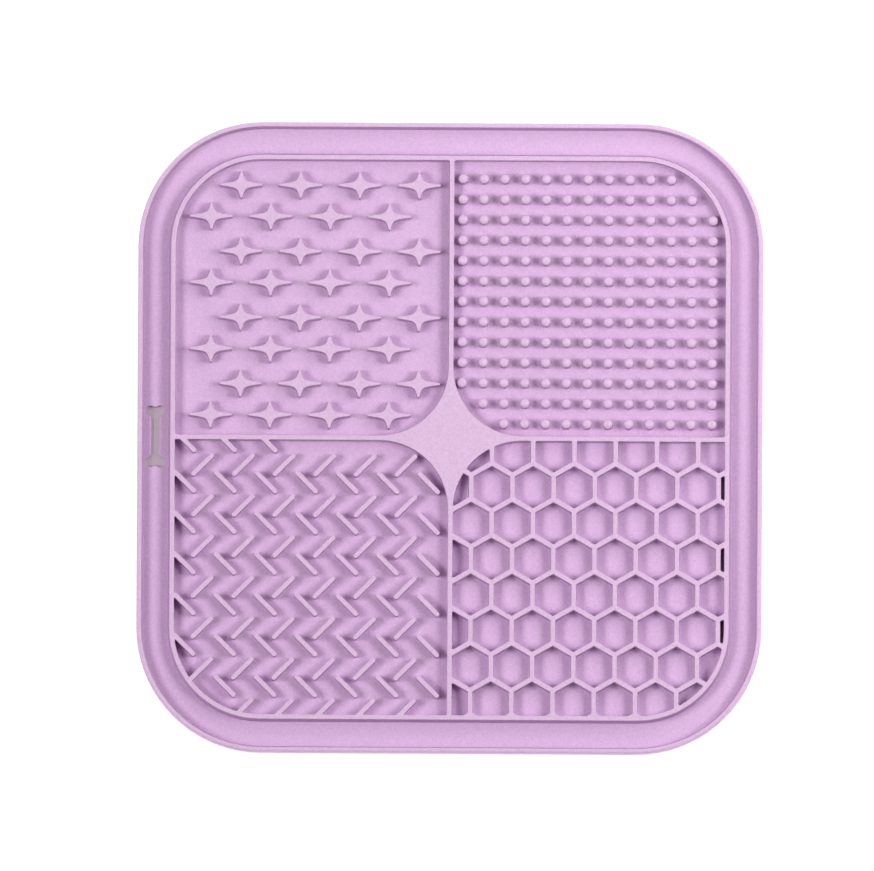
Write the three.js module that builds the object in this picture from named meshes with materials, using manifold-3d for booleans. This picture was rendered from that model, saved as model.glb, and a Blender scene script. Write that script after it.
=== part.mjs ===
import * as THREE from 'three';
import { mergeVertices } from 'three/addons/utils/BufferGeometryUtils.js';
import Module from 'manifold-3d';

// Square lick mat, moulded in one piece: a base sheet with a raised lip, a spill channel,
// an inner wall and four wells with different relief. Millimetres, +Z up, the origin on the
// underside at the middle of the mat, +Y towards the star and nub wells.

// Driving sizes of the sheet and its lip
const MAT_WIDTH = 200;
const MAT_DEPTH = 201.8;
const MAT_HEIGHT = 7.5;
const MAT_CORNER = 40;
const SHEET_THICKNESS = 2;
const EDGE_ROUND = 0.7;
const LIP = 1.5;

// Channel, inner wall, dividers and centre plate
const CHANNEL = 9;
const WALL = 1.5;
const WALL_CORNER = 29;
const DIVIDER = 1.5;
const CROSS_X = 0.25;
const CROSS_Y = -0.15;
const PLATE_ARC = 22.1;

// Bone-shaped hanging hole in the left run of the channel
const BONE_X = -94.1;
const BONE_Y = 0.4;
const BONE_LENGTH = 19.3;
const BONE_SHAFT = 2.6;
const BONE_LOBE = 1.75;
const BONE_SPREAD = 1.35;

// Stars: two sets of rows, the second set shifted to the left and down
const STAR = { halfLength: 6.85, halfHeight: 4.25, tip: 0.32, waist: 1.42 };
const STAR_FIRST_X = -67.17;
const STAR_FIRST_Y = 80.75;
const STAR_PITCH_X = 19;
const STAR_PITCH_Y = 21.2;
const STAR_SHIFT_X = -9.5;
const STAR_SHIFT_Y = -10.05;
const STAR_COLUMNS = 4;
const STAR_ROWS = 4;

// Nubs: a plain grid, left out where one would stand in a wall
const NUB = { topRadius: 1.45, footRadius: 1.75, sides: 6 };
const NUB_FIRST_X = 3.84;
const NUB_FIRST_Y = 83.07;
const NUB_PITCH_X = 6.66;
const NUB_PITCH_Y = 6.533;
const NUB_COUNT = 13;
const NUB_CLEARANCE = 2;

// Herringbone bars: rising bars and falling bars on one pitch
const BAR = { length: 8.1, width: 1.5 };
const BAR_PITCH_X = 13;
const BAR_PITCH_Y = 13.055;
const RISING_FIRST_X = -79.03;
const RISING_FIRST_Y = -9;
const FALLING_FIRST_X = -71.73;
const FALLING_FIRST_Y = -14.52;
const BAR_COLUMNS = 6;
const BAR_ROWS = 6;
const TOP_ROW_FALLING = 3;

// Honeycomb cells, points up and down
const CELL_PITCH_X = 13.19;
const CELL_PITCH_Y = 11.504;
const CELL_FIRST_X = 13.49;
const CELL_FIRST_Y = -15.7;
const CELL_COLUMNS = 7;
const CELL_ROWS = 7;

const CELL_SIDES = 6;

// Steps in a quarter turn of a round corner, in the outer edge's rounding and around a lobe
const CORNER_STEPS = 10;
const EDGE_STEPS = 2;
const LOBE_SIDES = 10;

// How far a cutting tool runs past the face it cuts, and how close points count as one
const OVERRUN = 1;
const MERGE_TOLERANCE = 1e-5;

const WELL_HALF_X = MAT_WIDTH / 2 - LIP - CHANNEL - WALL;
const WELL_HALF_Y = MAT_DEPTH / 2 - LIP - CHANNEL - WALL;
const WELL_CORNER = WALL_CORNER - WALL;
const QUARTER = Math.PI / 4;

const wasm = await Module();
wasm.setup();

function toSolid(geometry) {
  const bare = geometry.index ? geometry.toNonIndexed() : geometry.clone();
  bare.deleteAttribute('normal');
  bare.deleteAttribute('uv');
  const merged = mergeVertices(bare, MERGE_TOLERANCE);
  const vertProperties = Float32Array.from(merged.attributes.position.array);
  const triVerts = Uint32Array.from(merged.index.array);
  return new wasm.Manifold(new wasm.Mesh({ numProp: 3, vertProperties, triVerts }));
}

function toGeometry(solid) {
  const mesh = solid.getMesh();
  const geometry = new THREE.BufferGeometry();
  geometry.setAttribute('position', new THREE.BufferAttribute(mesh.vertProperties, 3));
  geometry.setIndex(new THREE.BufferAttribute(mesh.triVerts, 1));
  geometry.computeVertexNormals();
  return geometry;
}

function joined(solids) {
  return solids.reduce((whole, solid) => whole.add(solid));
}

// A straight-sided prism of a flat outline between two heights
function prism(shape, low, high, steps = CORNER_STEPS) {
  const options = { depth: high - low, bevelEnabled: false, curveSegments: steps };
  return toSolid(new THREE.ExtrudeGeometry(shape, options).translate(0, 0, low));
}

// A round or many-sided post, wider or narrower at its top
function post(x, y, footRadius, topRadius, low, high, sides) {
  const geometry = new THREE.CylinderGeometry(topRadius, footRadius, high - low, sides);
  geometry.rotateX(Math.PI / 2);
  return toSolid(geometry.translate(x, y, (low + high) / 2));
}

function roundedRectangle(width, depth, corner) {
  const x = width / 2 - corner;
  const y = depth / 2 - corner;
  const shape = new THREE.Shape();
  shape.absarc(x, y, corner, 0, Math.PI / 2);
  shape.absarc(-x, y, corner, Math.PI / 2, Math.PI);
  shape.absarc(-x, -y, corner, Math.PI, 1.5 * Math.PI);
  shape.absarc(x, -y, corner, 1.5 * Math.PI, 2 * Math.PI);
  return shape;
}

// The whole block of the mat, its outer edges rounded top and bottom
function matBlock() {
  const outline = roundedRectangle(MAT_WIDTH, MAT_DEPTH, MAT_CORNER);
  const geometry = new THREE.ExtrudeGeometry(outline, {
    depth: MAT_HEIGHT - 2 * EDGE_ROUND,
    bevelEnabled: true,
    bevelSize: EDGE_ROUND,
    bevelThickness: EDGE_ROUND,
    bevelOffset: -EDGE_ROUND,
    bevelSegments: EDGE_STEPS,
    curveSegments: CORNER_STEPS,
  });
  return toSolid(geometry.translate(0, 0, EDGE_ROUND));
}

// The channel between the lip and the inner wall
function channelCutter() {
  const width = MAT_WIDTH - 2 * LIP;
  const depth = MAT_DEPTH - 2 * LIP;
  const outer = roundedRectangle(width, depth, MAT_CORNER - LIP);
  const inner = roundedRectangle(width - 2 * CHANNEL, depth - 2 * CHANNEL, WALL_CORNER);
  const filled = prism(outer, SHEET_THICKNESS, MAT_HEIGHT + OVERRUN);
  return filled.subtract(prism(inner, 0, MAT_HEIGHT + 2 * OVERRUN));
}

// One well: two square corners, a round one at the inner wall and a round one at the plate
function wellOutline(sideX, sideY) {
  const nearX = CROSS_X + (sideX * DIVIDER) / 2;
  const nearY = CROSS_Y + (sideY * DIVIDER) / 2;
  const length = Math.abs(sideX * WELL_HALF_X - nearX);
  const height = Math.abs(sideY * WELL_HALF_Y - nearY);
  const path = new THREE.Path();
  path.moveTo(PLATE_ARC, 0);
  path.lineTo(length, 0);
  path.absarc(length - WELL_CORNER, height - WELL_CORNER, WELL_CORNER, 0, Math.PI / 2);
  path.lineTo(0, height);
  path.absarc(PLATE_ARC, PLATE_ARC, PLATE_ARC, Math.PI, 1.5 * Math.PI);
  const points = path.getPoints(CORNER_STEPS);
  return new THREE.Shape(points.map((p) => new THREE.Vector2(nearX + sideX * p.x, nearY + sideY * p.y)));
}

function wellCutter(sideX, sideY) {
  return prism(wellOutline(sideX, sideY), SHEET_THICKNESS, MAT_HEIGHT + OVERRUN);
}

// A relief form runs from inside the sheet to above the wells' tops
function reliefPrism(shape) {
  return prism(shape, SHEET_THICKNESS - OVERRUN, MAT_HEIGHT + 2 * OVERRUN);
}

function starShape(x, y) {
  const quarter = [
    [STAR.halfLength, STAR.tip],
    [STAR.waist, STAR.waist],
    [STAR.tip, STAR.halfHeight],
  ];
  const turned = [...quarter].reverse();
  const corners = [
    ...quarter,
    ...turned.map(([u, v]) => [-u, v]),
    ...quarter.map(([u, v]) => [-u, -v]),
    ...turned.map(([u, v]) => [u, -v]),
  ];
  return new THREE.Shape(corners.map(([u, v]) => new THREE.Vector2(x + u, y + v)));
}

function stars() {
  const solids = [];
  for (let row = 0; row < STAR_ROWS; row += 1) {
    for (let column = 0; column < STAR_COLUMNS; column += 1) {
      const x = STAR_FIRST_X + column * STAR_PITCH_X;
      const y = STAR_FIRST_Y - row * STAR_PITCH_Y;
      solids.push(reliefPrism(starShape(x, y)));
      solids.push(reliefPrism(starShape(x + STAR_SHIFT_X, y + STAR_SHIFT_Y)));
    }
  }
  return joined(solids);
}

// How far a point in the nub well lies inside that well's two round corners
function roundCornerClearance(x, y) {
  const wallX = WELL_HALF_X - WELL_CORNER;
  const wallY = WELL_HALF_Y - WELL_CORNER;
  const plateX = CROSS_X + DIVIDER / 2 + PLATE_ARC;
  const plateY = CROSS_Y + DIVIDER / 2 + PLATE_ARC;
  if (x > wallX && y > wallY) {
    return WELL_CORNER - Math.hypot(x - wallX, y - wallY);
  }
  if (x < plateX && y < plateY) {
    return PLATE_ARC - Math.hypot(x - plateX, y - plateY);
  }
  return Infinity;
}

function nubs() {
  const solids = [];
  const slope = (NUB.footRadius - NUB.topRadius) / (MAT_HEIGHT - SHEET_THICKNESS);
  const low = SHEET_THICKNESS - OVERRUN;
  const high = MAT_HEIGHT + 2 * OVERRUN;
  const footRadius = NUB.footRadius + slope * OVERRUN;
  const topRadius = NUB.topRadius - slope * 2 * OVERRUN;
  for (let row = 0; row < NUB_COUNT; row += 1) {
    for (let column = 0; column < NUB_COUNT; column += 1) {
      const x = NUB_FIRST_X + column * NUB_PITCH_X;
      const y = NUB_FIRST_Y - row * NUB_PITCH_Y;
      if (roundCornerClearance(x, y) >= NUB_CLEARANCE) {
        solids.push(post(x, y, footRadius, topRadius, low, high, NUB.sides));
      }
    }
  }
  return joined(solids);
}

// A bar with pointed ends, turned about its middle
function barShape(x, y, angle) {
  const half = BAR.length / 2;
  const side = BAR.width / 2;
  const corners = [
    [half + side, 0],
    [half, side],
    [-half, side],
    [-half - side, 0],
    [-half, -side],
    [half, -side],
  ];
  const cos = Math.cos(angle);
  const sin = Math.sin(angle);
  const turned = corners.map(([u, v]) => new THREE.Vector2(x + u * cos - v * sin, y + u * sin + v * cos));
  return new THREE.Shape(turned);
}

// Rising bars have one more row, cut by the bottom wall and without its first bar, where the
// wall turns. Falling bars have one more column, cut by the left wall, and a short row that
// the divider cuts.
function bars() {
  const solids = [];
  for (let row = 0; row <= BAR_ROWS; row += 1) {
    for (let column = row < BAR_ROWS ? 0 : 1; column < BAR_COLUMNS; column += 1) {
      const x = RISING_FIRST_X + column * BAR_PITCH_X;
      const y = RISING_FIRST_Y - row * BAR_PITCH_Y;
      solids.push(reliefPrism(barShape(x, y, QUARTER)));
    }
  }
  for (let row = -1; row < BAR_ROWS; row += 1) {
    const columns = row < 0 ? TOP_ROW_FALLING : BAR_COLUMNS + 1;
    for (let column = 0; column < columns; column += 1) {
      const x = FALLING_FIRST_X + (column - 1) * BAR_PITCH_X;
      const y = FALLING_FIRST_Y - row * BAR_PITCH_Y;
      solids.push(reliefPrism(barShape(x, y, -QUARTER)));
    }
  }
  return joined(solids);
}

// The honeycomb's cells as posts to cut away; what they leave is the walls between them.
// The cells around the edge are cut by the well's own sides.
function cellCutters() {
  const solids = [];
  const high = MAT_HEIGHT + OVERRUN;
  const radius = (CELL_PITCH_X - WALL) / 2 / Math.cos(Math.PI / CELL_SIDES);
  for (let row = -1; row < CELL_ROWS; row += 1) {
    const shift = row % 2 === 0 ? 0 : -CELL_PITCH_X / 2;
    for (let column = -1; column <= CELL_COLUMNS; column += 1) {
      const x = CELL_FIRST_X + shift + column * CELL_PITCH_X;
      const y = CELL_FIRST_Y - row * CELL_PITCH_Y;
      solids.push(post(x, y, radius, radius, SHEET_THICKNESS, high, CELL_SIDES));
    }
  }
  return joined(solids);
}

function boneCutter() {
  const lobeY = BONE_LENGTH / 2 - BONE_LOBE;
  const low = -OVERRUN;
  const high = SHEET_THICKNESS + OVERRUN;
  const shaft = new THREE.Shape([
    new THREE.Vector2(BONE_X - BONE_SHAFT / 2, BONE_Y - lobeY),
    new THREE.Vector2(BONE_X + BONE_SHAFT / 2, BONE_Y - lobeY),
    new THREE.Vector2(BONE_X + BONE_SHAFT / 2, BONE_Y + lobeY),
    new THREE.Vector2(BONE_X - BONE_SHAFT / 2, BONE_Y + lobeY),
  ]);
  const solids = [prism(shaft, low, high)];
  for (const sideX of [-1, 1]) {
    for (const sideY of [-1, 1]) {
      const x = BONE_X + sideX * BONE_SPREAD;
      const y = BONE_Y + sideY * lobeY;
      solids.push(post(x, y, BONE_LOBE, BONE_LOBE, low, high, LOBE_SIDES));
    }
  }
  return joined(solids);
}

function matSolid() {
  return matBlock()
    .subtract(channelCutter())
    .subtract(wellCutter(-1, 1).subtract(stars()))
    .subtract(wellCutter(1, 1).subtract(nubs()))
    .subtract(wellCutter(-1, -1).subtract(bars()))
    .subtract(wellCutter(1, -1).intersect(cellCutters()))
    .subtract(boneCutter());
}

const silicone = new THREE.MeshStandardMaterial({ color: 0xdcb8dd, roughness: 0.6, metalness: 0 });

const group = new THREE.Group();
const mat = new THREE.Mesh(toGeometry(matSolid()), silicone);
mat.name = 'mat';
group.add(mat);

export default group;
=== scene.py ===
"""Lick mat, dressed for rendering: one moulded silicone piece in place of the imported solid.

The outer sizes come from the frame. Outlines are drawn in millimetres on the plan of the mat,
each one with its sunk side on the left, and become metres when the mesh is made.
"""
import logging
import math
from bisect import bisect_right
from dataclasses import dataclass, field
from enum import Enum
from itertools import accumulate

import bpy
from mathutils import Matrix, Vector
from mathutils.geometry import delaunay_2d_cdt, intersect_line_line_2d


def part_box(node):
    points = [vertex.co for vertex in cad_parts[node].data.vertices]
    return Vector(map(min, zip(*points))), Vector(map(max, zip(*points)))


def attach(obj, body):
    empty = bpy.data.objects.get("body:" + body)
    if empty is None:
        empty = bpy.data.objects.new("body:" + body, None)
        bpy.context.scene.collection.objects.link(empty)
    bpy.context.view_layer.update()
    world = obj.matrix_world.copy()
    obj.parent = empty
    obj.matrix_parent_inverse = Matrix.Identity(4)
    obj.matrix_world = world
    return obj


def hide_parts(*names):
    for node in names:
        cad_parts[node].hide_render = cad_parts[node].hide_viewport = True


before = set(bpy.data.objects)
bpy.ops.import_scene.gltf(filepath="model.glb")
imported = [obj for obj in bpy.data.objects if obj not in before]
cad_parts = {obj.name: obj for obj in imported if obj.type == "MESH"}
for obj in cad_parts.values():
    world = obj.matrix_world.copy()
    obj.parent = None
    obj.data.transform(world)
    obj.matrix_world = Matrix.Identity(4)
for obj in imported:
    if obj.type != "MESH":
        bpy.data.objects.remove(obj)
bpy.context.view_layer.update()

log = logging.getLogger("lick_mat")

MM = 0.001
Outline = list[Vector]
Ring = list[int]

QUARTER = math.pi / 2
ARC_STEP = math.radians(5)
ROUND_STEP = math.radians(18)
TIP_STEP = math.radians(30)
BAR_END_STEP = math.radians(22.5)
SHARP_TURN = math.radians(24)
SHARP_TURN_IN_RELIEF = math.radians(30)
ROOM_SHARE = 0.46
LEAST_MITER = 0.5
SAME_POINT = 1e-4
SAME_POINT_ON_FLAT = 1e-6


def arc(centre: Vector, radius: float, start: float, end: float, step: float) -> Outline:
    """Draw an arc with both its ends.

    Args:
        centre: Middle of the circle.
        radius: Radius of the circle.
        start: First angle in radians.
        end: Last angle in radians.
        step: Largest angle between two points.

    Returns:
        The points from start to end.
    """
    count = max(1, math.ceil(abs(end - start) / step))
    angles = (start + (end - start) * i / count for i in range(count + 1))
    return [centre + radius * Vector((math.cos(a), math.sin(a))) for a in angles]


def rounded_rectangle(half_x: float, half_y: float, corner: float) -> Outline:
    """Draw a rectangle around the origin with round corners.

    Args:
        half_x: Half of its width.
        half_y: Half of its depth.
        corner: Radius of its corners.

    Returns:
        The outline, counterclockwise.
    """
    x, y = half_x - corner, half_y - corner
    points: Outline = []
    for turn, (side_x, side_y) in enumerate(((1, 1), (-1, 1), (-1, -1), (1, -1))):
        start = turn * QUARTER
        points += arc(Vector((side_x * x, side_y * y)), corner, start, start + QUARTER, ARC_STEP)
    return points


def turned(outline: Outline, centre: Vector, angle: float = 0.0) -> Outline:
    """Turn an outline about the origin and move it to its place."""
    spin = Matrix.Rotation(angle, 2)
    return [spin @ point + centre for point in outline]


def cubic(start: Vector, leave: Vector, arrive: Vector, end: Vector, steps: int) -> Outline:
    """Draw a cubic curve with both its ends.

    Args:
        start: First point.
        leave: Handle of the first point.
        arrive: Handle of the last point.
        end: Last point.
        steps: Number of steps.

    Returns:
        The points from start to end.
    """
    points = []
    for i in range(steps + 1):
        t = i / steps
        u = 1 - t
        points.append(u ** 3 * start + 3 * u * u * t * leave + 3 * u * t * t * arrive + t ** 3 * end)
    return points


def turn_at(outline: Outline, index: int) -> float:
    """Work out by how much an outline turns at one of its points.

    Args:
        outline: A closed outline.
        index: The point's number.

    Returns:
        The angle in radians, positive to the left.
    """
    before = outline[index] - outline[index - 1]
    after = outline[(index + 1) % len(outline)] - outline[index]
    return math.atan2(before.x * after.y - before.y * after.x, before.dot(after))


def softened(outline: Outline, radius: float, sharp: float = SHARP_TURN) -> Outline:
    """Round the sharp corners of an outline, as a mould's cutter leaves them.

    Args:
        outline: A closed outline.
        radius: Radius of the rounding, less where the sides are too short for it.
        sharp: Least turn in radians that counts as a corner.

    Returns:
        The outline with arcs in place of its corners.
    """
    sharp_points = [i for i in range(len(outline)) if abs(turn_at(outline, i)) > sharp]
    if not sharp_points:
        return outline
    first = sharp_points[0]
    corners = [i - first for i in sharp_points]
    outline = outline[first:] + outline[:first]
    size = len(outline)
    lengths = ((outline[(i + 1) % size] - outline[i]).length for i in range(size))
    marks = [0.0, *accumulate(lengths)]
    total = marks[-1]

    def along(distance: float) -> tuple[Vector, Vector]:
        """Find a place along the outline.

        Args:
            distance: Distance from the first corner.

        Returns:
            The point, and the way on from it.
        """
        distance %= total
        edge = min(bisect_right(marks, distance) - 1, size - 1)
        way = (outline[(edge + 1) % size] - outline[edge]).normalized()
        return outline[edge] + way * (distance - marks[edge]), way

    places = [marks[corner] for corner in corners] + [total]
    rooms = [after - before for before, after in zip(places, places[1:])]
    turns = [abs(turn_at(outline, corner)) for corner in corners]
    reaches = [
        min(radius * math.tan(turn / 2), ROOM_SHARE * min(rooms[i - 1], rooms[i]))
        for i, turn in enumerate(turns)
    ]
    points: Outline = []
    for i, (place, turn, reach) in enumerate(zip(places, turns, reaches)):
        bend = 4 / 3 * math.tan(turn / 4) * reach / math.tan(turn / 2)
        start, way_in = along(place - reach)
        end, way_out = along(place + reach)
        count = max(2, math.ceil(turn / ROUND_STEP))
        points += cubic(start, start + way_in * bend, end - way_out * bend, end, count)
        low, high = place + reach, places[i + 1] - reaches[(i + 1) % len(reaches)]
        points += [p for p, mark in zip(outline, marks) if low < mark < high]
    return points


class Relief(Enum):
    """What the shapes drawn in a well are."""

    RAISED = "shapes that stand on the well's floor"
    SUNK = "cells sunk into a raised block"


def sunk_outlines(well: Outline, shapes: list[Outline], relief: Relief) -> list[Outline]:
    """Work out the borders of the sunk floor where shapes meet a well's sides and each other.

    Args:
        well: Outline of the well, counterclockwise.
        shapes: Outlines of the relief, which may run past the well.
        relief: What the shapes are.

    Returns:
        Closed outlines with the floor on their left.
    """
    points: Outline = []
    faces: list[list[int]] = []
    for outline in [well, *shapes]:
        faces.append(list(range(len(points), len(points) + len(outline))))
        points += outline
    found = delaunay_2d_cdt(points, [], faces, 1, SAME_POINT)
    verts, triangles, owners = found[0], found[2], found[5]
    following: dict[int, int] = {}
    edges: set[tuple[int, int]] = set()
    for triangle, owner in zip(triangles, owners):
        on_shape = any(index > 0 for index in owner)
        if 0 in owner and on_shape == (relief is Relief.SUNK):
            edges.update((triangle[i - 1], triangle[i]) for i in range(3))
    for first, second in edges:
        if (second, first) not in edges:
            following[first] = second
    outlines: list[Outline] = []
    while following:
        first, at = following.popitem()
        loop = [first]
        while at != first:
            loop.append(at)
            at = following.pop(at)
        outlines.append([verts[i] for i in loop])
    return outlines


class Foot(Enum):
    """How the lower end of a moulded side ends."""

    HOLLOW = "a fillet that runs out into the flat below"
    ROUND = "a rounded edge that turns in under the side"


@dataclass(frozen=True)
class Side:
    """Section of a moulded side, from the flat above it down to its foot."""

    top: float
    bottom: float
    rim: float
    foot: float
    draft: float = 0.0
    ending: Foot = Foot.HOLLOW
    rim_steps: int = 4
    foot_steps: int = 2

    def section(self) -> list[tuple[float, float, float, float]]:
        """Work out the section.

        Returns:
            Rows of offset towards the sunk side, height, and the normal's lean and rise.
        """
        rows = []
        for i in range(self.rim_steps + 1):
            angle = i / self.rim_steps * QUARTER
            lean, rise = math.sin(angle), math.cos(angle)
            rows.append((self.rim * (lean - 1), self.top + self.rim * (rise - 1), lean, rise))
        for i in range(self.foot_steps + 1):
            angle = i / self.foot_steps * QUARTER
            lean, rise = math.cos(angle), math.sin(angle)
            height = self.bottom + self.foot * (1 - rise)
            if self.ending is Foot.HOLLOW:
                rows.append((self.draft + self.foot * (1 - lean), height, lean, rise))
            else:
                rows.append((self.draft - self.foot * (1 - lean), height, lean, -rise))
        return rows


@dataclass
class Skin:
    """One closed mesh, gathered ring by ring and then filled in between its rings."""

    points: list[tuple[float, float, float]] = field(default_factory=list)
    normals: list[tuple[float, float, float]] = field(default_factory=list)
    faces: list[tuple[int, ...]] = field(default_factory=list)

    def ring(self, outline: Outline, offset: float, height: float, lean: float, rise: float) -> Ring:
        """Add an outline's points, moved to its left and lifted to a height.

        Args:
            outline: A closed outline with its sunk side on the left.
            offset: How far the points move to the left.
            height: Height above the mat's underside.
            lean: The normal's share towards the left.
            rise: The normal's share upwards.

        Returns:
            The new points' numbers, in order.
        """
        first = len(self.points)
        size = len(outline)
        for i, point in enumerate(outline):
            before = (point - outline[i - 1]).normalized()
            after = (outline[(i + 1) % size] - point).normalized()
            left = Vector((-before.y - after.y, before.x + after.x)).normalized()
            miter = left.dot(Vector((-before.y, before.x)))
            place = point + left * (offset / max(miter, LEAST_MITER))
            self.points.append((place.x, place.y, height))
            self.normals.append((left.x * lean, left.y * lean, rise))
        return list(range(first, first + size))

    def band(self, upper: Ring, lower: Ring) -> None:
        """Join two rings of one outline with a band of faces."""
        for i in range(len(upper)):
            self.faces.append((upper[i - 1], upper[i], lower[i], lower[i - 1]))

    def side(self, outline: Outline, side: Side) -> tuple[Ring, Ring]:
        """Sweep a side along an outline.

        Args:
            outline: A closed outline with its sunk side on the left.
            side: The section to sweep.

        Returns:
            The ring at the top and the ring at the foot.
        """
        rings = [self.ring(outline, *row) for row in side.section()]
        for upper, lower in zip(rings, rings[1:]):
            self.band(upper, lower)
        return rings[0], rings[-1]

    def cap(self, ring: Ring, height: float) -> None:
        """Close a round ring with a fan about its middle.

        Args:
            ring: The ring, clockwise from above.
            height: Height of the fan's middle point.
        """
        middle = sum((Vector(self.points[i]) for i in ring), Vector()) / len(ring)
        self.points.append((middle.x, middle.y, height))
        self.normals.append((0.0, 0.0, 1.0))
        apex = len(self.points) - 1
        self.faces += [(ring[i], ring[i - 1], apex) for i in range(len(ring))]

    def flat(self, rings: list[Ring], upwards: bool = True) -> None:
        """Fill the flat between rings of one height.

        A point lies on the flat if a way to it from outside crosses an odd number of rings.

        Args:
            rings: The flat's borders, which don't cross each other.
            upwards: Whether the flat faces up.
        """
        numbers = [number for ring in rings for number in ring]
        edges = []
        start = 0
        for ring in rings:
            size = len(ring)
            edges += [(start + i, start + (i + 1) % size) for i in range(size)]
            start += size
        flat_points = [Vector(self.points[number][:2]) for number in numbers]
        found = delaunay_2d_cdt(flat_points, edges, [], 0, SAME_POINT_ON_FLAT)
        verts, triangles, origins = found[0], found[2], found[3]
        if len(verts) != len(flat_points):
            log.warning("rings cross: %d points became %d", len(flat_points), len(verts))
        borders = {tuple(sorted(edge)) for edge, ids in zip(found[1], found[4]) if ids}
        inside = self.parity(triangles, borders)
        for triangle, is_inside in zip(triangles, inside):
            if is_inside and all(origins[i] for i in triangle):
                face = tuple(numbers[origins[i][0]] for i in triangle)
                self.faces.append(face if upwards else face[::-1])

    @staticmethod
    def parity(triangles: list[list[int]], borders: set[tuple[int, ...]]) -> list[bool]:
        """Tell which triangles lie inside an odd number of borders.

        Args:
            triangles: Triangles that fill a convex area.
            borders: The edges that are part of a border.

        Returns:
            For each triangle, whether it does.
        """
        sharing: dict[tuple[int, ...], list[int]] = {}
        for number, triangle in enumerate(triangles):
            for i in range(3):
                sharing.setdefault(tuple(sorted((triangle[i - 1], triangle[i]))), []).append(number)
        inside: dict[int, bool] = {}
        waiting = []
        for edge, numbers in sharing.items():
            if len(numbers) == 1 and numbers[0] not in inside:
                inside[numbers[0]] = edge in borders
                waiting.append(numbers[0])
        while waiting:
            number = waiting.pop()
            triangle = triangles[number]
            for i in range(3):
                edge = tuple(sorted((triangle[i - 1], triangle[i])))
                for other in sharing[edge]:
                    if other not in inside:
                        inside[other] = inside[number] != (edge in borders)
                        waiting.append(other)
        return [inside[number] for number in range(len(triangles))]

    def mesh_object(self, name: str) -> bpy.types.Object:
        """Make the object, in metres and with its worked-out normals.

        Args:
            name: Name of the object and its mesh.

        Returns:
            The new object, linked to the scene.
        """
        mesh = bpy.data.meshes.new(name)
        points = [tuple(value * MM for value in point) for point in self.points]
        mesh.from_pydata(points, [], self.faces)
        mesh.polygons.foreach_set("use_smooth", [True] * len(mesh.polygons))
        mesh.normals_split_custom_set_from_vertices(self.normals)
        mesh.validate()
        piece = bpy.data.objects.new(name, mesh)
        bpy.context.collection.objects.link(piece)
        return piece


@dataclass
class Sheet:
    """The square sheet with its lip, spill channel, inner wall and underside."""

    high: Vector
    thickness: float = 2.0
    corner: float = 40.0
    lip: float = 1.5
    channel: float = 9.0
    wall: float = 1.5
    wall_corner: float = 29.0
    divider: float = 1.5
    cross: tuple[float, float] = (0.25, -0.15)
    plate_arc: float = 22.1
    edge_round: float = 0.7
    underside_round: float = 0.5
    rim: float = 0.2
    fillet: float = 0.12
    channel_spread: float = 0.66
    inner_corner: float = 0.7

    @property
    def height(self) -> float:
        """Height of everything raised."""
        return self.high.z

    def rectangle(self, inset: float, corner: float) -> Outline:
        """Draw the mat's outline, moved in, with a corner of its own."""
        return rounded_rectangle(self.high.x - inset, self.high.y - inset, corner)

    def well(self, side_x: int, side_y: int) -> Outline:
        """Draw a well between its divider arms, the centre plate and the inner wall.

        Args:
            side_x: 1 for a well on the right, -1 on the left.
            side_y: 1 for a well at the back, -1 at the front.

        Returns:
            The well's outline, counterclockwise.
        """
        inset = self.lip + self.channel + self.wall
        near = Vector((
            self.cross[0] + side_x * self.divider / 2,
            self.cross[1] + side_y * self.divider / 2,
        ))
        length = abs(side_x * (self.high.x - inset) - near.x)
        depth = abs(side_y * (self.high.y - inset) - near.y)
        corner = self.wall_corner - self.wall
        centre = Vector((length - corner, depth - corner))
        points = [Vector((length, 0))]
        points += arc(centre, corner, 0, QUARTER, ARC_STEP)
        points += [Vector((0, depth))]
        points += arc(Vector((self.plate_arc,) * 2), self.plate_arc, 2 * QUARTER, 3 * QUARTER, ARC_STEP)
        points = [Vector((near.x + side_x * p.x, near.y + side_y * p.y)) for p in points]
        return points if side_x * side_y > 0 else points[::-1]

    def relief_side(self, spread: float) -> Side:
        """Work out the section of a side between a raised top and a sunk floor.

        Args:
            spread: How far the side's foot stands out from its top, draft and fillet together.

        Returns:
            The section.
        """
        draft = max(spread - self.fillet, 0.0)
        return Side(self.height, self.thickness, self.rim, foot=spread - draft, draft=draft)


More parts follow.
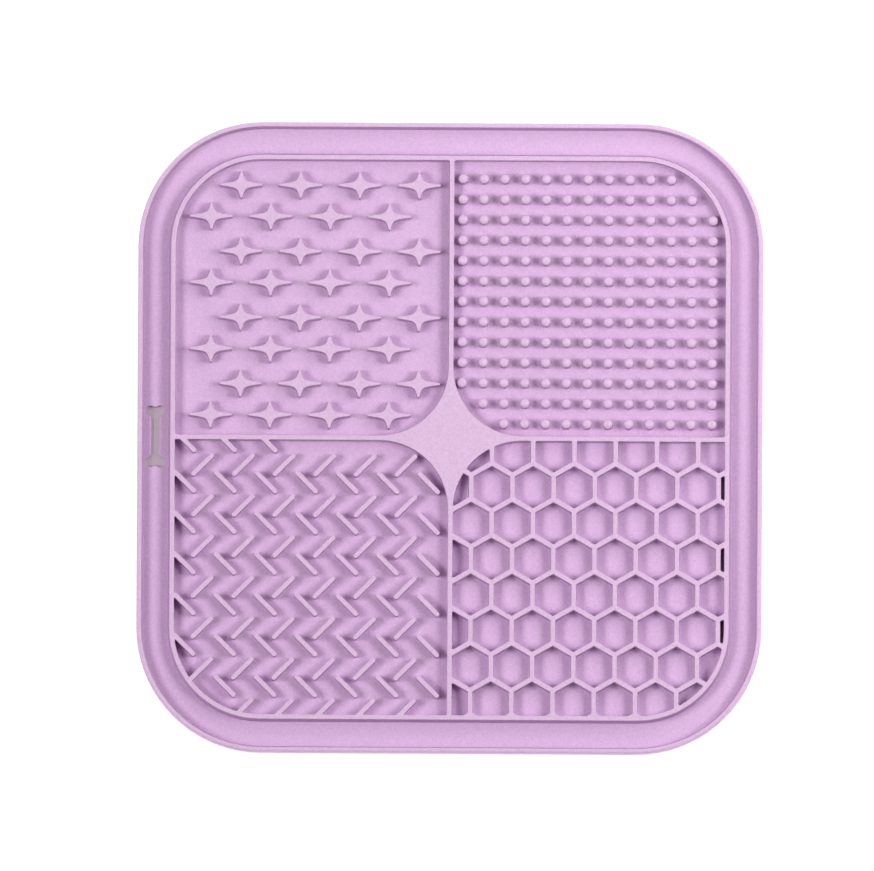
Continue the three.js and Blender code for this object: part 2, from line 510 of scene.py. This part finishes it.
@dataclass
class StarWell:
    """Four-pointed stars in two sets of rows, the second set shifted to the left and down."""

    sheet: Sheet
    half_length: float = 6.85
    half_height: float = 4.25
    tip: float = 0.36
    waist: tuple[tuple[float, float], tuple[float, float]] = ((0.93, 1.06), (1.22, 1.12))
    first: tuple[float, float] = (-67.17, 80.75)
    pitch: tuple[float, float] = (19.0, 21.2)
    shift: tuple[float, float] = (-9.5, -10.05)
    columns: int = 4
    rows: int = 4
    flank_steps: int = 9
    spread: float = 0.36

    def star(self) -> Outline:
        """Draw one star around the origin, with round tips and hollow flanks.

        Returns:
            The outline, counterclockwise.
        """
        right = Vector((self.half_length - self.tip, self.tip))
        top = Vector((self.tip, self.half_height - self.tip))
        near_right, near_top = (Vector(handle) for handle in self.waist)
        flank = cubic(right, near_right, near_top, top, self.flank_steps)
        top_tip = arc(Vector((0, top.y)), self.tip, QUARTER, 0, TIP_STEP)
        right_tip = arc(Vector((right.x, 0)), self.tip, 0, QUARTER, TIP_STEP)
        corner = right_tip[:-1] + flank + top_tip[-2::-1]
        upper = corner + [Vector((-p.x, p.y)) for p in corner[-2::-1]]
        return upper + [Vector((p.x, -p.y)) for p in upper[-2:0:-1]]

    def outlines(self) -> list[Outline]:
        """Draw the borders of the well's floor.

        Returns:
            Closed outlines with the floor on their left.
        """
        star = self.star()
        shapes = []
        for row in range(self.rows):
            for column in range(self.columns):
                x = self.first[0] + column * self.pitch[0]
                y = self.first[1] - row * self.pitch[1]
                shapes.append(turned(star, Vector((x, y))))
                shapes.append(turned(star, Vector((x + self.shift[0], y + self.shift[1]))))
        well = softened(self.sheet.well(-1, 1), self.sheet.inner_corner)
        return [well] + [shape[::-1] for shape in shapes]


@dataclass
class NubWell:
    """Round-topped nubs on a plain grid, left out where one would stand in a wall."""

    sheet: Sheet
    top_radius: float = 1.58
    foot_radius: float = 1.68
    dome: float = 0.85
    foot: float = 0.16
    sides: int = 14
    dome_steps: int = 4
    first: tuple[float, float] = (3.84, 83.07)
    pitch: tuple[float, float] = (6.66, 6.533)
    count: int = 13
    clearance: float = 2.0
    spread: float = 0.15

    def outlines(self) -> list[Outline]:
        """Draw the border of the well's floor."""
        return [softened(self.sheet.well(1, 1), self.sheet.inner_corner)]

    def clear_of_corners(self, x: float, y: float) -> bool:
        """Tell whether a nub stands far enough inside the well's two round corners.

        Args:
            x: The nub's middle, to the right.
            y: The nub's middle, to the back.

        Returns:
            Whether it does.
        """
        sheet = self.sheet
        inset = sheet.lip + sheet.channel + sheet.wall
        corner = sheet.wall_corner - sheet.wall
        wall = Vector((sheet.high.x - inset - corner, sheet.high.y - inset - corner))
        near = sheet.divider / 2 + sheet.plate_arc
        plate = Vector((sheet.cross[0] + near, sheet.cross[1] + near))
        if x > wall.x and y > wall.y:
            return corner - math.hypot(x - wall.x, y - wall.y) >= self.clearance
        if x < plate.x and y < plate.y:
            return sheet.plate_arc - math.hypot(x - plate.x, y - plate.y) >= self.clearance
        return True

    def places(self) -> list[Vector]:
        """List the nubs' middles.

        Returns:
            The middles of the nubs that stand clear of the round corners.
        """
        grid = [
            Vector((self.first[0] + column * self.pitch[0], self.first[1] - row * self.pitch[1]))
            for row in range(self.count)
            for column in range(self.count)
        ]
        return [place for place in grid if self.clear_of_corners(place.x, place.y)]

    def section(self) -> list[tuple[float, float, float, float]]:
        """Work out a nub's section.

        Returns:
            Rows of radius, height, and the normal's lean and rise, from dome to foot.
        """
        shoulder = self.sheet.height - self.dome
        rows = []
        for i in range(1, self.dome_steps + 1):
            angle = i / self.dome_steps * QUARTER
            lean, rise = math.sin(angle), math.cos(angle)
            slope = Vector((lean / self.top_radius, rise / self.dome)).normalized()
            rows.append((self.top_radius * lean, shoulder + self.dome * rise, slope.x, slope.y))
        for angle in (0, QUARTER / 2, QUARTER):
            lean, rise = math.cos(angle), math.sin(angle)
            radius = self.foot_radius + self.foot * (1 - lean)
            rows.append((radius, self.sheet.thickness + self.foot * (1 - rise), lean, rise))
        return rows

    def build(self, skin: Skin) -> list[Ring]:
        """Add the nubs.

        Args:
            skin: The mesh that they become part of.

        Returns:
            The rings where they stand on the floor.
        """
        feet = []
        for place in self.places():
            unit_circle = arc(place, 1.0, math.tau, 0, math.tau / self.sides)[:-1]
            rings = [
                skin.ring(unit_circle, radius - 1.0, height, lean, rise)
                for radius, height, lean, rise in self.section()
            ]
            skin.cap(rings[0], self.sheet.height)
            for upper, lower in zip(rings, rings[1:]):
                skin.band(upper, lower)
            feet.append(rings[-1])
        return feet


@dataclass
class BarWell:
    """Herringbone bars: rising and falling ones on one pitch, some of them cut by the walls."""

    sheet: Sheet
    length: float = 8.2
    width: float = 1.5
    pitch: tuple[float, float] = (13.0, 13.055)
    first_rising: tuple[float, float] = (-79.03, -9.0)
    first_falling: tuple[float, float] = (-71.73, -14.52)
    columns: int = 6
    rows: int = 6
    top_row_falling: int = 3
    corner: float = 0.25
    join: float = 0.7
    spread: float = 0.2

    def bar(self, middle: Vector, angle: float, well: Outline) -> Outline:
        """Draw one bar with round ends, run on into a wall that an end would just miss.

        Args:
            middle: Middle of the bar.
            angle: Angle of the bar's length.
            well: Outline of the well.

        Returns:
            The outline, counterclockwise.
        """
        points: Outline = []
        for facing in (angle, angle + math.pi):
            along = Vector((math.cos(facing), math.sin(facing)))
            centre = middle + along * self.length / 2
            tip = centre + along * self.width / 2
            sides = zip(well, well[1:] + well[:1])
            if any(intersect_line_line_2d(tip, tip + along * self.join, *side) for side in sides):
                centre += along * self.join
            points += arc(centre, self.width / 2, facing - QUARTER, facing + QUARTER, BAR_END_STEP)
        return points

    def outlines(self) -> list[Outline]:
        """Draw the borders of the well's floor.

        Returns:
            Closed outlines with the floor on their left.
        """
        well = self.sheet.well(-1, -1)
        shapes = []
        for row in range(self.rows + 1):
            for column in range(0 if row < self.rows else 1, self.columns):
                x = self.first_rising[0] + column * self.pitch[0]
                y = self.first_rising[1] - row * self.pitch[1]
                shapes.append(self.bar(Vector((x, y)), QUARTER / 2, well))
        for row in range(-1, self.rows):
            count = self.top_row_falling if row < 0 else self.columns + 1
            for column in range(count):
                x = self.first_falling[0] + (column - 1) * self.pitch[0]
                y = self.first_falling[1] - row * self.pitch[1]
                shapes.append(self.bar(Vector((x, y)), -QUARTER / 2, well))
        borders = sunk_outlines(well, shapes, Relief.RAISED)
        return [softened(border, self.corner, SHARP_TURN_IN_RELIEF) for border in borders]


@dataclass
class HoneycombWell:
    """Six-sided cells with points at the back and front, cut at the well's own sides."""

    sheet: Sheet
    pitch: tuple[float, float] = (13.19, 11.504)
    first: tuple[float, float] = (13.49, -15.7)
    columns: int = 7
    rows: int = 7
    corner: float = 0.4
    spread: float = 0.3

    def cell(self) -> Outline:
        """Draw one cell around the origin."""
        radius = (self.pitch[0] - self.sheet.wall) / 2 / math.cos(math.pi / 6)
        return arc(Vector((0, 0)), radius, math.pi / 6, math.pi * 11 / 6, math.pi / 3)

    def outlines(self) -> list[Outline]:
        """Draw the borders of the cells' floors.

        Returns:
            Closed outlines with the floor on their left.
        """
        cell = self.cell()
        shapes = []
        for row in range(-1, self.rows):
            shift = -self.pitch[0] / 2 if row % 2 else 0.0
            for column in range(-1, self.columns + 1):
                x = self.first[0] + shift + column * self.pitch[0]
                y = self.first[1] - row * self.pitch[1]
                shapes.append(turned(cell, Vector((x, y))))
        borders = sunk_outlines(self.sheet.well(1, -1), shapes, Relief.SUNK)
        return [softened(border, self.corner, SHARP_TURN_IN_RELIEF) for border in borders]


@dataclass
class HangingHole:
    """Bone-shaped hole through the sheet, in the left run of the channel."""

    sheet: Sheet
    centre: tuple[float, float] = (-94.25, 0.25)
    length: float = 19.5
    shaft: float = 2.45
    lobe: float = 1.52
    spread: float = 1.5
    notch: float = 0.5
    rim: float = 0.4
    neck: float = 0.8

    def outline(self) -> Outline:
        """Draw the bone upright in its place.

        Returns:
            The outline, counterclockwise, so that the hole is on its left.
        """
        lobe = Vector((self.spread, self.length / 2 - self.lobe))
        shapes = []
        for side_x in (-1, 1):
            for side_y in (-1, 1):
                middle = Vector((side_x * lobe.x, side_y * lobe.y))
                shapes.append(arc(middle, self.lobe, 0, math.tau, ROUND_STEP)[:-1])
        shapes.append(self.box(self.shaft / 2, self.length / 2 - self.notch))
        block = self.box(self.length, self.length)
        borders = sunk_outlines(block, shapes, Relief.SUNK)
        bone = softened(borders[0], self.neck, SHARP_TURN_IN_RELIEF)
        return turned(bone, Vector(self.centre))

    @staticmethod
    def box(half_x: float, half_y: float) -> Outline:
        """Draw a plain rectangle around the origin, counterclockwise."""
        corners = ((1, 1), (-1, 1), (-1, -1), (1, -1))
        return [Vector((x * half_x, y * half_y)) for x, y in corners]

    def side(self) -> Side:
        """Section of the hole's own side through the sheet."""
        thickness = self.sheet.thickness
        return Side(thickness, 0.0, self.rim, foot=0.2, ending=Foot.ROUND, rim_steps=3)


def linear(colour: str) -> tuple[float, float, float, float]:
    """Turn an sRGB hex colour into a linear one.

    Args:
        colour: Six hex digits after a hash.

    Returns:
        Red, green, blue and full opacity.
    """
    values = [int(colour[i:i + 2], 16) / 255 for i in (1, 3, 5)]
    red, green, blue = (v / 12.92 if v <= 0.04045 else ((v + 0.055) / 1.055) ** 2.4 for v in values)
    return red, green, blue, 1.0


def add_node(
    tree: bpy.types.NodeTree,
    kind: str,
    settings: dict[str, object] | None = None,
    **links: object,
) -> bpy.types.Node:
    """Add a node with its settings and links.

    Args:
        tree: The material's node tree.
        kind: Name of the node's type.
        settings: Attributes of the node, set before its inputs.
        links: Inputs by name, with spaces as underscores: a value, or a socket to link from.

    Returns:
        The new node.
    """
    node = tree.nodes.new(kind)
    for name, value in (settings or {}).items():
        setattr(node, name, value)
    for name, value in links.items():
        socket = node.inputs[name.replace("_", " ")]
        if isinstance(value, bpy.types.NodeSocket):
            tree.links.new(value, socket)
        else:
            socket.default_value = value
    return node


@dataclass(frozen=True)
class MouldedSilicone:
    """Liquid silicone rubber with a lilac pigment, press-moulded in a blasted steel mould.

    The pigment makes it opaque. The blasting leaves a fine matt grain, so that flats look
    even and only the round edges catch a soft light. The grain is a tenth of a millimetre
    on the real mat, too fine to show, so it is drawn as coarse as it needs to show.
    The raised tops are painted paler and warmer than the sunk floors: painted light, as the
    raised tops catch more light than the floors.
    """

    name: str = "moulded_silicone_lilac"
    floor_colour: str = "#d3b1d6"
    # Painted light: the top colour is paler than the floor colour for the light that the raised tops
    # catch.
    painted_light_top_colour: str = "#d7b6d8"
    roughness: float = 0.42
    ior: float = 1.41
    grain: float = 0.6
    grain_depth: float = 0.05
    speckle: float = 0.19

    def material(self, floor: float, top: float) -> bpy.types.Material:
        """Make the material.

        Args:
            floor: Height of the sunk floors in millimetres.
            top: Height of the raised tops in millimetres.

        Returns:
            The material.
        """
        material = bpy.data.materials.new(self.name)
        material.use_nodes = True
        tree = material.node_tree
        tree.nodes.clear()
        place = add_node(tree, "ShaderNodeTexCoord").outputs["Object"]
        height = add_node(tree, "ShaderNodeSeparateXYZ", Vector=place).outputs["Z"]
        # Painted light: the base colour goes from the floor colour to the paler top colour with height.
        raised = add_node(
            tree,
            "ShaderNodeMapRange",
            {"interpolation_type": "SMOOTHSTEP"},
            Value=height,
            From_Min=(floor + top) / 2 * MM,
            From_Max=top * MM,
        )
        painted_light_tone = add_node(
            tree,
            "ShaderNodeMixRGB",
            Fac=raised.outputs["Result"],
            Color1=linear(self.floor_colour),
            Color2=linear(self.painted_light_top_colour),
        )
        grain = add_node(
            tree, "ShaderNodeTexNoise", Vector=place, Scale=1 / (self.grain * MM), Detail=2.0
        )
        lightness = add_node(
            tree,
            "ShaderNodeMapRange",
            Value=grain.outputs["Fac"],
            To_Min=1 - self.speckle,
            To_Max=1 + self.speckle,
        )
        # The grain's speckle on top of the painted light of the tops.
        grain_and_painted_light_colour = add_node(
            tree,
            "ShaderNodeHueSaturation",
            Value=lightness.outputs["Result"],
            Color=painted_light_tone.outputs["Color"],
        )
        bump = add_node(
            tree,
            "ShaderNodeBump",
            Height=grain.outputs["Fac"],
            Strength=1.0,
            Distance=self.grain_depth * MM,
        )
        shader = add_node(
            tree,
            "ShaderNodeBsdfPrincipled",
            Base_Color=grain_and_painted_light_colour.outputs["Color"],
            Roughness=self.roughness,
            IOR=self.ior,
            Normal=bump.outputs["Normal"],
        )
        add_node(tree, "ShaderNodeOutputMaterial", Surface=shader.outputs["BSDF"])
        return material


@dataclass(frozen=True)
class MattWhite:
    """Opal acrylic or card: matt, without a grain that would show under soft light.

    Opal acrylic that is lit from below is given a glow, which keeps it white in the shade.
    """

    name: str
    colour: str
    glow: float = 0.0
    roughness: float = 0.9

    def material(self) -> bpy.types.Material:
        """Make the material.

        Returns:
            The material.
        """
        material = bpy.data.materials.new(self.name)
        material.use_nodes = True
        tree = material.node_tree
        tree.nodes.clear()
        shader = add_node(
            tree,
            "ShaderNodeBsdfPrincipled",
            Base_Color=linear(self.colour),
            Roughness=self.roughness,
            Emission_Color=linear(self.colour),
            Emission_Strength=self.glow,
        )
        add_node(tree, "ShaderNodeOutputMaterial", Surface=shader.outputs["BSDF"])
        return material


@dataclass
class LickMat:
    """The whole mat: sheet, four wells and hanging hole as one moulded piece."""

    sheet: Sheet
    stars: StarWell
    nubs: NubWell
    bars: BarWell
    honeycomb: HoneycombWell
    hole: HangingHole
    finish: MouldedSilicone = MouldedSilicone()

    @classmethod
    def from_box(cls, high: Vector) -> "LickMat":
        """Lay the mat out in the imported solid's box, which stands around the origin.

        Args:
            high: Highest corner in millimetres.

        Returns:
            The mat.
        """
        sheet = Sheet(high)
        return cls(
            sheet,
            StarWell(sheet),
            NubWell(sheet),
            BarWell(sheet),
            HoneycombWell(sheet),
            HangingHole(sheet),
        )

    def build(self) -> bpy.types.Object:
        """Build the mat's mesh and dress it.

        Returns:
            The mat as one object.
        """
        sheet = self.sheet
        skin = Skin()
        outer = Side(
            sheet.height, 0.0, sheet.edge_round, foot=sheet.underside_round,
            ending=Foot.ROUND, foot_steps=3,
        )
        rim, base = skin.side(sheet.rectangle(0.0, sheet.corner)[::-1], outer)
        tops, feet = [rim], []
        channel = [
            sheet.rectangle(sheet.lip, sheet.corner - sheet.lip),
            sheet.rectangle(sheet.lip + sheet.channel, sheet.wall_corner)[::-1],
        ]
        borders = [(outline, sheet.channel_spread) for outline in channel]
        for well in (self.stars, self.nubs, self.bars, self.honeycomb):
            outlines = well.outlines()
            log.info("%s: %d borders", type(well).__name__, len(outlines))
            borders += [(outline, well.spread) for outline in outlines]
        for outline, spread in borders:
            top, foot = skin.side(outline, sheet.relief_side(spread))
            tops.append(top)
            feet.append(foot)
        feet += self.nubs.build(skin)
        hole_rim, hole_base = skin.side(self.hole.outline(), self.hole.side())
        skin.flat(tops)
        skin.flat(feet + [hole_rim])
        skin.flat([base, hole_base], upwards=False)
        piece = skin.mesh_object("silicone_mat")
        piece.data.materials.append(self.finish.material(sheet.thickness, sheet.height))
        return piece


@dataclass(frozen=True)
class Softbox:
    """Square soft light, aimed at the middle of the mat."""

    name: str
    azimuth: float
    elevation: float
    size: float
    power: float
    distance: float

    def build(self) -> None:
        """Add the light."""
        light = bpy.data.lights.new(self.name, "AREA")
        light.shape = "RECTANGLE"
        light.size = light.size_y = self.size
        light.energy = self.power
        lamp = bpy.data.objects.new(self.name, light)
        lamp.visible_camera = False
        azimuth, elevation = math.radians(self.azimuth), math.radians(self.elevation)
        away = Vector((
            math.cos(elevation) * math.sin(azimuth),
            -math.cos(elevation) * math.cos(azimuth),
            math.sin(elevation),
        ))
        lamp.location = away * self.distance
        lamp.rotation_euler = away.to_track_quat("Z", "Y").to_euler()
        bpy.context.collection.objects.link(lamp)


@dataclass
class Studio:
    """Pale floor, soft lights and the camera at the photograph's angle."""

    photo: tuple[int, int] = (874, 871)
    mat_in_photo: tuple[float, float] = (449.9, 437.7)
    pixels_per_mm: float = 3.126
    elevation: float = 86.8
    roll: float = 0.32
    distance: float = 1.0
    table_size: float = 6000.0
    card_inset: float = 2.0
    drop: float = 0.1
    table_finish: MattWhite = MattWhite("opal_acrylic_light_table", "#f4f3f4", glow=0.5)
    # Painted shade: the card is partly its own pale grey, partly darker and pinker for the shade and
    # lilac bounce light in the hanging hole.
    card_finish_with_painted_shade: MattWhite = MattWhite("pale_card_with_painted_hole_shade", "#d2c6cd")
    room_colour: str = "#fffdfa"
    horizon: float = 1.5
    horizon_top: float = 25.0
    lights: tuple[Softbox, ...] = (
        Softbox("softbox_left", azimuth=-90, elevation=60, size=0.84, power=35.9, distance=3.0),
        Softbox("softbox_left_front", azimuth=-60, elevation=60, size=0.84, power=11.0, distance=3.0),
        Softbox("softbox_right", azimuth=90, elevation=60, size=0.84, power=29.4, distance=3.0),
        Softbox("softbox_right_near", azimuth=110, elevation=45, size=0.44, power=1.38, distance=0.6),
        Softbox("softbox_back", azimuth=170, elevation=45, size=0.29, power=0.33, distance=0.5),
    )

    def camera(self, height: float) -> None:
        """Add the camera.

        Args:
            height: Height of the mat's top in metres, which the photograph's scale is for.
        """
        data = bpy.data.cameras.new("camera")
        data.type = "ORTHO"
        data.ortho_scale = self.photo[0] / self.pixels_per_mm * MM
        data.clip_end = 10.0
        camera = bpy.data.objects.new("camera", data)
        tilt = Matrix.Rotation(math.radians(90 - self.elevation), 4, "X")
        frame_turn = tilt @ Matrix.Rotation(math.radians(self.roll), 4, "Z")
        right = (self.mat_in_photo[0] - self.photo[0] / 2) / self.pixels_per_mm * MM
        down = (self.mat_in_photo[1] - self.photo[1] / 2) / self.pixels_per_mm * MM
        away = frame_turn @ Vector((-right, down, self.distance))
        camera.matrix_world = Matrix.Translation(Vector((0, 0, height)) + away) @ frame_turn
        bpy.context.collection.objects.link(camera)
        bpy.context.scene.camera = camera

    def floor(self, sheet: Sheet) -> None:
        """Add the lit table and the card under the mat, which shows in the hanging hole with painted
        shade.

        Args:
            sheet: The mat's sheet, which the card is cut to.
        """
        half = self.table_size / 2
        table = rounded_rectangle(half, half, sheet.corner)
        card = sheet.rectangle(self.card_inset, sheet.corner - self.card_inset)
        for name, outline, drop, finish in (
            ("floor", table, 2 * self.drop, self.table_finish),
            ("floor_card", card, self.drop, self.card_finish_with_painted_shade),
        ):
            mesh = bpy.data.meshes.new(name)
            points = [(point.x * MM, point.y * MM, -drop * MM) for point in outline]
            mesh.from_pydata(points, [], [tuple(range(len(points)))])
            mesh.materials.append(finish.material())
            plate = bpy.data.objects.new(name, mesh)
            bpy.context.collection.objects.link(plate)

    def world(self) -> None:
        """Light the room low down at the sides and back, and set how tones are shown."""
        world = bpy.data.worlds.new("soft_room")
        world.use_nodes = True
        tree = world.node_tree
        tree.nodes.clear()
        way = add_node(tree, "ShaderNodeTexCoord").outputs["Generated"]
        axes = add_node(tree, "ShaderNodeSeparateXYZ", Vector=way).outputs
        low = add_node(
            tree,
            "ShaderNodeMapRange",
            Value=axes["Z"],
            From_Max=math.sin(math.radians(self.horizon_top)),
            To_Min=self.horizon,
            To_Max=0.0,
        )
        behind = add_node(
            tree,
            "ShaderNodeMapRange",
            Value=axes["Y"],
            From_Min=-1.0,
            From_Max=0.0,
            To_Max=low.outputs["Result"],
        )
        glow = add_node(
            tree,
            "ShaderNodeBackground",
            Color=linear(self.room_colour),
            Strength=behind.outputs["Result"],
        )
        add_node(tree, "ShaderNodeOutputWorld", Surface=glow.outputs["Background"])
        bpy.context.scene.world = world
        bpy.context.scene.view_settings.view_transform = "Standard"

    def build(self, sheet: Sheet) -> None:
        """Set up the camera, floor, room light and softboxes around the mat.

        Args:
            sheet: The mat's sheet.
        """
        self.camera(sheet.height * MM)
        self.floor(sheet)
        self.world()
        for softbox in self.lights:
            softbox.build()


def main() -> None:
    """Build the studio and the mat, and tie the mat to the frame."""
    logging.basicConfig(level=logging.INFO, format="%(name)s: %(message)s")
    high = Vector(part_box("mat")[1]) / MM
    mat = LickMat.from_box(high)
    Studio().build(mat.sheet)
    piece = mat.build()
    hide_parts("mat")
    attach(piece, "root")
    triangles = sum(len(face.vertices) - 2 for face in piece.data.polygons)
    log.info("%s: %d triangles", piece.name, triangles)


if __name__ == "__main__":
    main()
